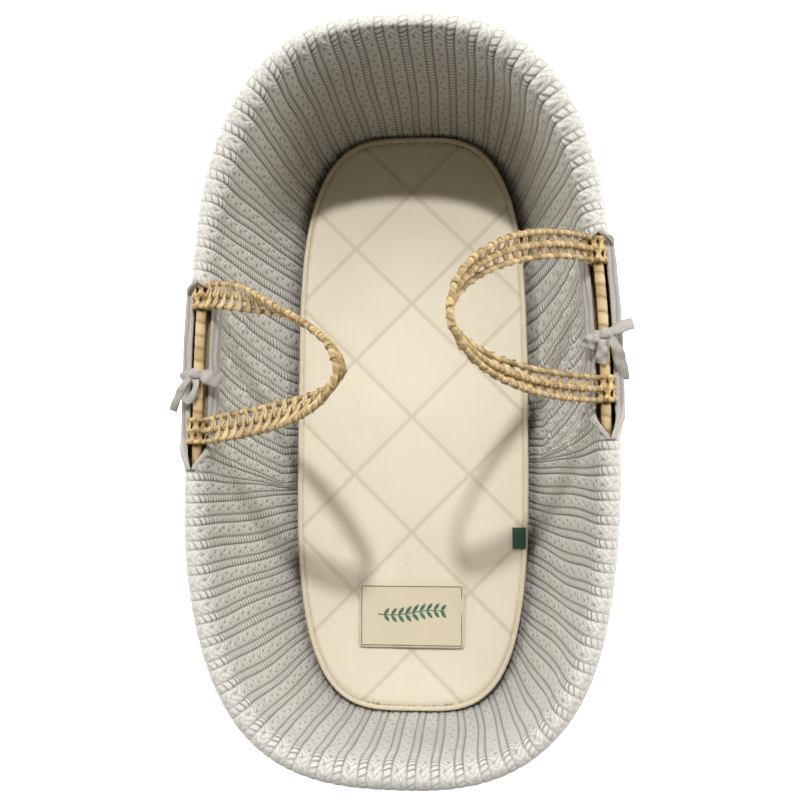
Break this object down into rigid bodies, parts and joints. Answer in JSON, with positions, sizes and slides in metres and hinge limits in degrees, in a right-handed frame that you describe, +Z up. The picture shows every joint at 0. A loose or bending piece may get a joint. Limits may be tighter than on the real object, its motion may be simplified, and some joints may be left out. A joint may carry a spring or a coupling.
{
  "type": "moses basket",
  "caption": "Oval woven palm moses basket with swinging lattice handles, a cable-knit liner over the rim and a quilted mattress that lifts out.",
  "frame": {"origin": "centre of the base's underside, on the surface the basket stands on", "axes": "+Z up, +Y to the head end along the basket's length, +X to its right-hand side seen from above with the head away"},
  "size_m": [0.5126, 0.8249, 0.4781],
  "materials": {
    "palm_weave": "dry woven leaf",
    "cane": "bare cane",
    "palm_strip": "satin golden strip",
    "palm_strap": "dry wrapped leaf",
    "knit": "grey heather cable knit",
    "jersey": "plain grey jersey",
    "cream_cotton": "quilted cream cotton",
    "foam": "open-cell foam",
    "zip_plastic": "matte",
    "green_tag": "woven label"
  },
  "bodies": {
    "basket": {"basket_floor": "palm_weave", "basket_wall": "palm_weave", "rim_rod": "cane", "rim_binding": "palm_strip", "liner_wall": "knit", "liner_base": "cream_cotton", "liner_rim_head": "knit", "liner_rim_foot": "knit", "liner_skirt": "knit", "hem_elastic": "knit", "left_outer_facing": "jersey", "left_inner_facing": "jersey", "left_bow_band": "jersey", "left_bow_knot": "jersey", "left_bow_loop_long": "jersey", "left_bow_loop_short": "jersey", "left_bow_tail_long": "jersey", "left_bow_tail_short": "jersey", "right_outer_facing": "jersey", "right_inner_facing": "jersey", "right_bow_band": "jersey", "right_bow_knot": "jersey", "right_bow_loop_long": "jersey", "right_bow_loop_short": "jersey", "right_bow_tail_long": "jersey", "right_bow_tail_short": "jersey"},
    "left_handle": {"left_outer_cord": "palm_strap", "left_middle_cord": "palm_strap", "left_inner_cord": "palm_strap", "left_outer_lace": "palm_strip", "left_inner_lace": "palm_strip", "left_head_loop": "palm_strap", "left_foot_loop": "palm_strap"},
    "right_handle": {"right_outer_cord": "palm_strap", "right_middle_cord": "palm_strap", "right_inner_cord": "palm_strap", "right_outer_lace": "palm_strip", "right_inner_lace": "palm_strip", "right_head_loop": "palm_strap", "right_foot_loop": "palm_strap"},
    "mattress": {"mattress_core": "foam", "cover_top": "cream_cotton", "cover_band": "cream_cotton", "cover_bottom": "cream_cotton", "piping_top": "cream_cotton", "piping_bottom": "cream_cotton", "zip_tape": "cream_cotton", "zip_slider": "zip_plastic", "label_patch": "cream_cotton", "side_tag": "green_tag"}
  },
  "joints": [
    {"name": "left_handle_swing", "type": "hinge", "parent": "basket", "child": "left_handle", "pos_m": [-0.22247, -0.029, 0.24703], "axis": [-0.0216, -0.9997, -0.0089], "range_deg": [-6.5, 168]},
    {"name": "right_handle_swing", "type": "hinge", "parent": "basket", "child": "right_handle", "pos_m": [0.22249, 0.0145, 0.247], "axis": [-0.0505, 0.9985, 0.0228], "range_deg": [-12.5, 159]},
    {"name": "mattress_lift", "type": "slide", "parent": "basket", "child": "mattress", "axis": [0, 0, 1], "range_m": [0, 0.18]}
  ]
}
